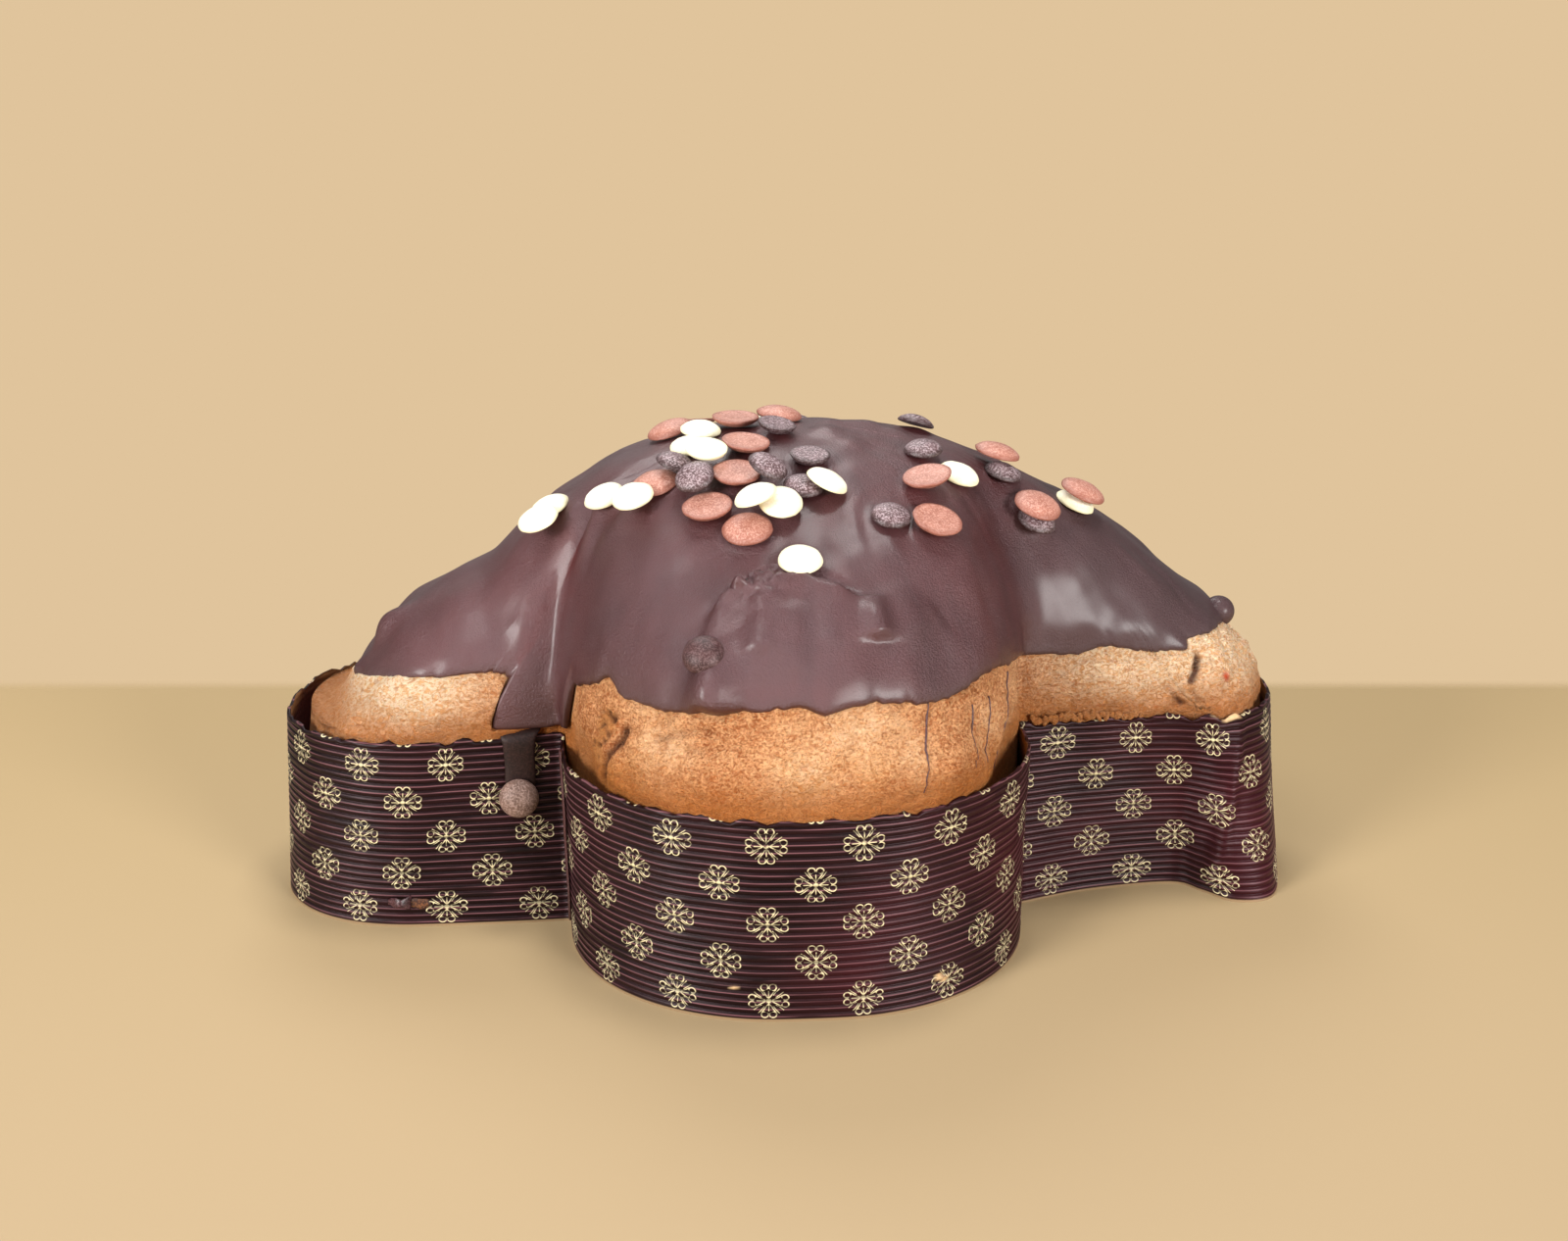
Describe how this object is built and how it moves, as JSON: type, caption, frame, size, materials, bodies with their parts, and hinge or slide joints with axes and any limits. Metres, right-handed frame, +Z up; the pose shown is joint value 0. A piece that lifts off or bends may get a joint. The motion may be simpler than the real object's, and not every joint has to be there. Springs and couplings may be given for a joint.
{
  "type": "colomba cake",
  "caption": "Dove-shaped baked Easter cake in a patterned corrugated paper case, covered by a poured chocolate glaze and strewn with white, milk and dark chocolate discs.",
  "frame": {"origin": "centre of the bounding box in plan, on the surface that the paper case stands on", "axes": "+X runs from the head to the tail, along the longest side; -Y is the near wing; +Z is up, from the case's floor to the crown of the cake"},
  "size_m": [0.3014, 0.194, 0.14],
  "materials": {
    "paper": "satin",
    "crust": "matte",
    "glaze": "satin",
    "milk_chocolate": "satin",
    "white_chocolate": "satin",
    "dark_chocolate": "satin",
    "speckled_chocolate": "matte"
  },
  "bodies": {
    "root": {"paper_case": "paper", "cake": "crust", "glaze": "glaze", "disc_white_01": "white_chocolate", "disc_white_02": "white_chocolate", "disc_dark_01": "dark_chocolate", "disc_milk_01": "milk_chocolate", "disc_milk_02": "milk_chocolate", "disc_white_03": "white_chocolate", "disc_milk_03": "milk_chocolate", "disc_dark_02": "dark_chocolate", "disc_dark_03": "dark_chocolate", "disc_dark_04": "dark_chocolate", "disc_milk_04": "milk_chocolate", "disc_dark_05": "dark_chocolate", "disc_milk_05": "milk_chocolate", "disc_white_04": "white_chocolate", "disc_white_05": "white_chocolate", "disc_white_06": "white_chocolate", "disc_milk_06": "milk_chocolate", "disc_dark_06": "dark_chocolate", "disc_milk_07": "milk_chocolate", "disc_milk_08": "milk_chocolate", "disc_white_07": "white_chocolate", "disc_white_08": "white_chocolate", "disc_white_09": "white_chocolate", "disc_white_10": "white_chocolate", "disc_white_11": "white_chocolate", "disc_dark_07": "dark_chocolate", "disc_dark_08": "dark_chocolate", "disc_white_12": "white_chocolate", "disc_milk_09": "milk_chocolate", "disc_dark_09": "dark_chocolate", "disc_milk_10": "milk_chocolate", "disc_dark_10": "dark_chocolate", "disc_milk_11": "milk_chocolate", "disc_dark_11": "dark_chocolate", "disc_milk_12": "milk_chocolate", "disc_white_13": "white_chocolate", "disc_milk_13": "milk_chocolate", "disc_milk_14": "milk_chocolate", "disc_white_14": "white_chocolate", "disc_dark_12": "dark_chocolate", "disc_milk_15": "milk_chocolate", "disc_white_15": "white_chocolate", "disc_dark_13": "dark_chocolate", "disc_milk_16": "milk_chocolate", "disc_white_16": "white_chocolate", "disc_dark_14": "dark_chocolate", "disc_milk_17": "milk_chocolate", "disc_white_17": "white_chocolate", "disc_dark_15": "dark_chocolate", "drop_wing": "dark_chocolate", "drop_drip_end": "speckled_chocolate"}
  },
  "joints": []
}
